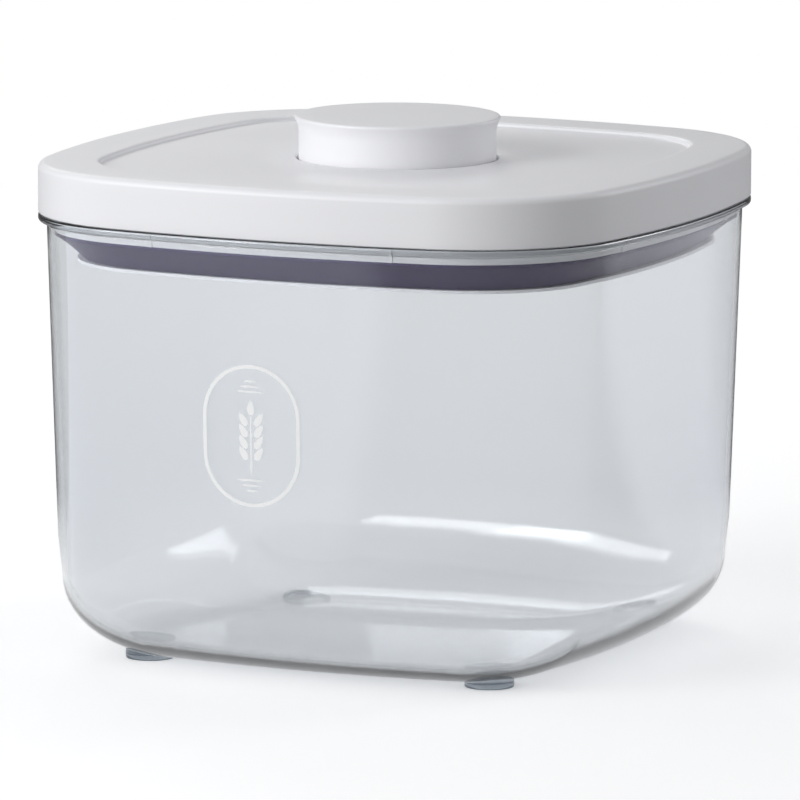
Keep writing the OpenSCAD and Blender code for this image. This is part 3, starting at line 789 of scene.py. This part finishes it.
class BIN_OT_seal(Operator):
    """Make the soft seal ring, with a sloping face, an upper lip and a groove behind it."""

    bl_idname = "bin.make_seal"
    bl_label = "Seal Ring"

    def execute(self, context):
        scene = context.scene
        seal = scene.bin_seal
        plan = plan_frame(scene.bin_outline)
        low_z, high_z = SEAL_LOW.z, SEAL_HIGH.z
        edge = 0.3 * MM
        top_in = scene.bin_outline.half_width - SEAL_HIGH.x
        foot_in = top_in + seal.slope
        back_in = foot_in + seal.foot
        lip_z, groove_z = high_z - seal.lip, high_z - seal.groove
        groove = seal.foot * 0.4
        # The face runs straight from foot to lip, less a half sine wave of hollow
        t = np.linspace(0, 1, 12)[1:-1]
        low = np.array([foot_in - 0.5 * MM, low_z + edge])
        high = np.array([top_in + edge, lip_z])
        sag = np.stack([seal.sag * np.sin(math.pi * t), -0.1 * MM * np.sin(math.pi * t)], -1)
        face = low + (high - low) * t[:, None] + sag
        profile = np.concatenate(
            [
                [(back_in, high_z), (back_in, low_z), (foot_in, low_z), low],
                face,
                [
                    high,
                    (top_in + 0.08 * MM, lip_z + 0.2 * MM),
                    (top_in, lip_z + 0.5 * MM),
                    (top_in, high_z - edge),
                    (top_in + 0.1 * MM, high_z - 0.1 * MM),
                    (top_in + edge, high_z),
                    (foot_in, high_z),
                    (foot_in + groove * 0.4, groove_z),
                    (foot_in + groove, groove_z),
                    (foot_in + groove * 1.4, high_z),
                ],
            ]
        )
        piece = ring_solid("seal_ring_soft", loft(profile, plan), sharp=50)
        rubber = material_named("violet_grey_silicone", silicone, scene.bin_colours.silicone)
        fit_piece(piece, "lid", "seal_silicone", rubber, "seal_ring")
        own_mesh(piece)
        return {"FINISHED"}


class BIN_OT_spring(Operator):
    """Make the return spring: a round wire along a helix whose end turns lie flat."""

    bl_idname = "bin.make_spring"
    bl_label = "Return Spring"

    def execute(self, context):
        scene = context.scene
        low_z, high_z = SPRING_LOW.z, SPRING_HIGH.z
        wire, turns = scene.bin_spring.wire, scene.bin_spring.turns
        coil = SPRING_HIGH.x - wire
        around, per_turn = 12, 40
        turn = np.linspace(0, turns, turns * per_turn + 1)
        angle = 2 * math.pi * turn
        # The first and last turns climb by about one wire's thickness each, so they lie closed
        closed, total = 2.1 * wire, high_z - low_z - 2 * wire
        climb = np.interp(turn, [0, 1, turns - 1, turns], [0, closed, total - closed, total])
        wire_z = low_z + wire + climb
        b = -np.arange(around) * 2 * math.pi / around
        r = coil + wire * np.cos(b)[None, :]
        rings = np.stack(
            [
                r * np.cos(angle)[:, None],
                r * np.sin(angle)[:, None],
                wire_z[:, None] + wire * np.sin(b)[None, :],
            ],
            -1,
        )
        ends = [(coil, 0, float(wire_z[0])), (coil, 0, float(wire_z[-1]))]
        piece = pole_solid("return_spring_wire", rings, *ends)
        metal = material_named("spring_wire_steel", steel, scene.bin_colours.steel, 0.22)
        fit_piece(piece, "lid", "spring_steel", metal, "return_spring")
        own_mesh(piece)
        return {"FINISHED"}


class BIN_OT_finish_parts(Operator):
    """Give the moulded and turned inner parts their materials."""

    bl_idname = "bin.finish_parts"
    bl_label = "Inner Parts"

    def execute(self, context):
        colours = context.scene.bin_colours
        finishes = {
            "clear_carrier": material_named("frosted_clear_carrier", frosted_plastic, colours.frost),
            "white_plate": material_named("gloss_white_plate", satin_abs, colours.white, 0.3),
            "core_plastic": material_named("moulded_core", satin_abs, colours.lever, 0.45),
            "lever_plastic": material_named("moulded_lever", satin_abs, colours.lever, 0.5),
            "pin_steel": material_named("ground_pin_steel", steel, colours.steel),
        }
        for part in frame["record"]["subparts"]:
            material = finishes.get(part["material_slot"])
            if material is not None:
                give_material(frame["nodes"][part["node"]], material)
        return {"FINISHED"}


def on_wall(scene, points, out):
    """Puts flat print points on the front wall: x and height stay, and the depth is the bowed
    wall's, sqrt((side radius - inset)^2 - x^2) less the arc centre's distance, plus a stand-off."""
    outline = scene.bin_outline
    k = outline.side_radius - outline.half_width
    x, z = points[..., 0], points[..., 1]
    inset = wall_inset(scene, z)
    depth = np.sqrt((outline.side_radius - inset) ** 2 - x**2) - k + out
    return np.stack([x, -depth, z], -1)


def stadium(width, height, count):
    """Points of an upright stadium: two half circles joined by straight sides, evenly spaced."""
    r = width / 2
    straight = height - width
    half = math.pi * r
    s = np.arange(count) / count * (2 * half + 2 * straight)
    a = np.clip(s, 0, half) / r
    up = np.clip(s - half, 0, straight)
    c = np.clip(s - half - straight, 0, half) / r
    down = np.clip(s - 2 * half - straight, 0, straight)
    first = s <= half + straight
    x = np.where(first, r * np.cos(a), -r * np.cos(c))
    z = np.where(first, straight / 2 - up + r * np.sin(a), -straight / 2 + down - r * np.sin(c))
    return np.stack([x, z], -1)


def film_of(scene):
    """Stand-off of the print's back and of its face from the wall."""
    mark = scene.bin_print
    return mark.gap, mark.gap + mark.film


def print_band(scene, name, outer, inner):
    """A thin closed band of print between two outlines, standing on the wall."""
    near, far = film_of(scene)
    places = ((outer, near), (outer, far), (inner, far), (inner, near))
    return ring_solid(name, np.stack([on_wall(scene, points, out) for points, out in places]))


def print_patch(scene, name, outlines):
    """Thin closed patches of print, each from its outline to its middle, standing on the wall."""
    near, far = film_of(scene)
    points, faces, start = [], [], 0
    for outline in outlines:
        middle = outline.mean(0)
        rows = [
            on_wall(scene, middle + (outline - middle) * share, out)
            for share, out in ((0.4, near), (1.0, near), (1.0, far), (0.4, far))
        ]
        poles = [on_wall(scene, middle, near), on_wall(scene, middle, far)]
        points += [*rows, np.stack(poles)]
        faces += [block + start for block in poled_faces(4, len(outline))]
        start += 4 * len(outline) + 2
    return mesh_of(name, np.concatenate(points), faces)


def grain_outline(x, z, long, wide, turn):
    """A grain: an ellipse drawn out to a point, turned by an angle, as 28 points."""
    t = np.arange(28) * 2 * math.pi / 28
    along = long / 2 * np.cos(t)
    across = wide / 2 * np.sin(t) * (1 - 0.35 * np.cos(t))
    c, s = math.cos(turn), math.sin(turn)
    return np.stack([x + along * c - across * s, z + along * s + across * c], -1)


class BIN_OT_print(Operator):
    """Print the white ring on the front wall, with a plain ear of grain and level marks in it."""

    bl_idname = "bin.make_print"
    bl_label = "Front Print"

    def execute(self, context):
        scene = context.scene
        mark = scene.bin_print
        centre = np.array([mark.centre_x, mark.centre_z])
        outer = stadium(mark.width, mark.height, 160) + centre
        inner = stadium(mark.width - 2 * mark.line, mark.height - 2 * mark.line, 160) + centre
        pieces = (
            print_band(scene, "print_ring", outer, inner),
            print_patch(scene, "print_grain_ear", self.ear(mark, centre)),
            print_patch(scene, "print_level_marks", self.levels(centre)),
        )
        ink = material_named("white_print_ink", print_ink, scene.bin_colours.print_white)
        for piece in pieces:
            fit_piece(piece, "tub", "white_cover", ink)
        return {"FINISHED"}

    def ear(self, mark, centre):
        """Outlines of the ear: one upright grain, four pairs of leaning grains and the stem."""
        size = (mark.grain_long, mark.grain_wide)
        tip_z, pair_z, pitch, aside = 10.2 * MM, 6.0, 4.1, 3.1 * MM
        grains = [grain_outline(*(centre + (0, tip_z)), *size, math.pi / 2)]
        for row in range(4):
            z = centre[1] + (pair_z - pitch * row) * MM
            for side in (-1, 1):
                lean = math.pi / 2 - side * mark.grain_tilt
                grains.append(grain_outline(centre[0] + side * aside, z, *size, lean))
        stem = np.array([(-0.35, -13.5), (0.35, -13.5), (0.3, 7.0), (-0.3, 7.0)]) * MM + centre
        return [*grains, stem]

    def levels(self, centre):
        """Outlines of the level marks: three above and three below the ear, shorter further out."""
        bars = []
        for row, half in enumerate((5.5, 3.8, 2.2)):
            for flip in (-1, 1):
                z = centre[1] + flip * (16.0 + 1.9 * row) * MM
                bars.append(grain_outline(centre[0], z, 2 * half * MM, 0.7 * MM, 0.0))
        return bars


def panorama(tree, vector):
    """Shade of the studio round the bin as gloss shows it, by compass direction.

    A cool bright wall runs from the left to the front, and a white one stands at the right back.
    The room is dark at the right and dim behind.
    """
    parts = add_node(tree, "ShaderNodeSeparateXYZ", {"Vector": vector})
    compass = add_node(
        tree, "ShaderNodeMath", {0: parts.outputs["Y"], 1: parts.outputs["X"]}, operation="ARCTAN2"
    )
    turn = add_node(
        tree, "ShaderNodeMapRange", {"Value": compass.outputs[0]}, From_Min=-math.pi, From_Max=math.pi
    )
    ramp = add_node(tree, "ShaderNodeValToRGB", {"Fac": turn.outputs["Result"]})
    elements = ramp.color_ramp.elements
    while len(elements) > 1:
        elements.remove(elements[-1])
    for degrees, shade in STUDIO:
        place = (degrees + 180) / 360
        stop = elements.new(place) if place > 0 else elements[0]
        stop.position = place
        stop.color = (*shade, 1)
    return ramp.outputs["Color"]


def by_ray(tree, seen, mirrored, other):
    """One shader for the camera and through clear plastic, one for gloss and one for other light."""
    light = add_node(tree, "ShaderNodeLightPath")
    direct = add_node(
        tree,
        "ShaderNodeMath",
        {0: light.outputs["Is Camera Ray"], 1: light.outputs["Is Transmission Ray"]},
        operation="MAXIMUM",
    )
    shine = add_node(
        tree, "ShaderNodeMixShader", {0: light.outputs["Is Glossy Ray"], 1: other, 2: mirrored}
    )
    shown = add_node(
        tree, "ShaderNodeMixShader", {0: direct.outputs[0], 1: shine.outputs[0], 2: seen}
    )
    return shown.outputs[0]


def soft_lamp(name, place, size, power):
    """A rectangular soft lamp at a place, turned to face the bin."""
    data = bpy.data.lights.new(name, "AREA")
    data.shape = "RECTANGLE"
    data.size, data.size_y = size
    data.energy = power
    lamp = bpy.data.objects.new(name, data)
    bpy.context.scene.collection.objects.link(lamp)
    lamp.location = place
    lamp.rotation_euler = (Vector(LAMP_AIM) - Vector(place)).to_track_quat("-Z", "Y").to_euler()


class BIN_OT_stage(Operator):
    """Set the camera at the photograph's angle, with a pale floor and soft lamps."""

    bl_idname = "bin.make_stage"
    bl_label = "Studio Stage"

    def execute(self, context):
        scene = context.scene
        self.camera(scene, scene.bin_stage)
        self.floor(scene.bin_stage)
        self.world(scene)
        for lamp in LAMPS:
            soft_lamp(*lamp)
        scene.view_settings.view_transform = "Standard"
        return {"FINISHED"}

    def camera(self, scene, stage):
        """Camera on the sight line through its target, turned by the roll about that line."""
        a, e = stage.azimuth, stage.elevation
        back = Vector((math.sin(a) * math.cos(e), -math.cos(a) * math.cos(e), math.sin(e)))
        right = Vector((math.cos(a), math.sin(a), 0))
        up = back.cross(right)
        c, s = math.cos(stage.roll), math.sin(stage.roll)
        x_axis, y_axis = right * c - up * s, right * s + up * c
        place = Vector((0, 0, stage.target_height)) + right * stage.target_right + back * stage.distance
        data = bpy.data.cameras.new("photo_camera")
        data.lens = stage.lens
        data.sensor_width = 36.0
        data.clip_start, data.clip_end = 0.1, 50.0
        camera = bpy.data.objects.new("photo_camera", data)
        scene.collection.objects.link(camera)
        camera.matrix_world = Matrix(
            [(x_axis[i], y_axis[i], back[i], place[i]) for i in range(3)] + [(0, 0, 0, 1)]
        )
        scene.camera = camera

    def floor(self, stage):
        """A pale round floor that keeps the object's shadow and fades to the backdrop's white."""
        radius = stage.floor_radius
        rings = turned_ring([(radius * s, 0.0) for s in (1.0, 0.5, 0.25, 0.1, 0.03)], 96)
        rows, columns = rings.shape[:2]
        points = np.concatenate([rings.reshape(-1, 3), [(0, 0, 0)]])
        centre = rows * columns
        faces = [grid_faces(rows, columns, False), fan_faces(centre - columns, columns, centre, False)]
        floor = mesh_of("pale_floor", points, faces)
        material, tree, output = new_material("pale_floor_paper")
        place = add_node(tree, "ShaderNodeTexCoord").outputs["Object"]
        distance = add_node(tree, "ShaderNodeVectorMath", {0: place}, operation="LENGTH")
        reach = {"Value": distance.outputs["Value"]}
        fade = add_node(tree, "ShaderNodeMapRange", reach, From_Min=0.45, From_Max=1.3)
        middle = add_node(tree, "ShaderNodeMapRange", reach, From_Min=0.2, From_Max=0.4)
        paper = add_node(tree, "ShaderNodeBsdfDiffuse", Color=linear_colour("#FAFAFA"))
        grey = add_node(tree, "ShaderNodeBsdfDiffuse", Color=linear_colour("#A8A8A8"))
        glow = add_node(tree, "ShaderNodeEmission", Color=(1, 1, 1, 1), Strength=0.27)
        white = add_node(tree, "ShaderNodeEmission", Color=(1, 1, 1, 1), Strength=1.0)
        room = add_node(
            tree, "ShaderNodeEmission", {"Color": panorama(tree, place)}, Strength=STUDIO_STRENGTH
        )
        lit = add_node(tree, "ShaderNodeAddShader", {0: paper.outputs[0], 1: glow.outputs[0]})
        # The camera sees lit paper that fades to white. Gloss shows lit paper close by and the
        # studio past it, and what lights the bin from below is grey paper.
        mixes = [
            add_node(
                tree,
                "ShaderNodeMixShader",
                {0: share.outputs["Result"], 1: lit.outputs[0], 2: far.outputs[0]},
            )
            for share, far in ((fade, white), (middle, room))
        ]
        shown = by_ray(tree, mixes[0].outputs[0], mixes[1].outputs[0], grey.outputs[0])
        tree.links.new(shown, output.inputs["Surface"])
        floor.data.materials.append(material)

    def world(self, scene):
        """White for the camera and through clear plastic, the studio for gloss, else a dim light."""
        world = bpy.data.worlds.new("studio_world")
        scene.world = world
        world.use_nodes = True
        tree = world.node_tree
        tree.nodes.clear()
        output = add_node(tree, "ShaderNodeOutputWorld")
        direction = add_node(tree, "ShaderNodeTexCoord").outputs["Generated"]
        dim = add_node(tree, "ShaderNodeBackground", Color=linear_colour("#F4F5F7"), Strength=0.5)
        room = add_node(
            tree, "ShaderNodeBackground", {"Color": panorama(tree, direction)}, Strength=STUDIO_STRENGTH
        )
        white = add_node(tree, "ShaderNodeBackground", Color=(1, 1, 1, 1), Strength=1.0)
        shown = by_ray(tree, white.outputs[0], room.outputs[0], dim.outputs[0])
        tree.links.new(shown, output.inputs["Surface"])


OPERATORS = (
    BIN_OT_stage,
    BIN_OT_tub,
    BIN_OT_feet,
    BIN_OT_cover,
    BIN_OT_button,
    BIN_OT_seal,
    BIN_OT_spring,
    BIN_OT_finish_parts,
    BIN_OT_print,
)


class BIN_PT_panel(Panel):
    """Lists the bin's pieces in the sidebar."""

    bl_idname = "BIN_PT_panel"
    bl_label = "Rice Bin"
    bl_space_type = "VIEW_3D"
    bl_region_type = "UI"
    bl_category = "Rice Bin"

    def draw(self, context):
        for operator in OPERATORS:
            self.layout.operator(operator.bl_idname)


def register():
    """Registers the sizes, the operators and the panel."""
    for group in GROUPS.values():
        bpy.utils.register_class(group)
    for name, group in GROUPS.items():
        setattr(bpy.types.Scene, name, PointerProperty(type=group))
    for item in (*OPERATORS, BIN_PT_panel):
        bpy.utils.register_class(item)


def unregister():
    """Undoes register, in reverse order."""
    for item in (BIN_PT_panel, *OPERATORS[::-1]):
        bpy.utils.unregister_class(item)
    for name, group in GROUPS.items():
        delattr(bpy.types.Scene, name)
        bpy.utils.unregister_class(group)


def main():
    """Makes every piece in order."""
    register()
    for operator in OPERATORS:
        group, call = operator.bl_idname.split(".")
        getattr(getattr(bpy.ops, group), call)()


if __name__ == "__main__":
    main()
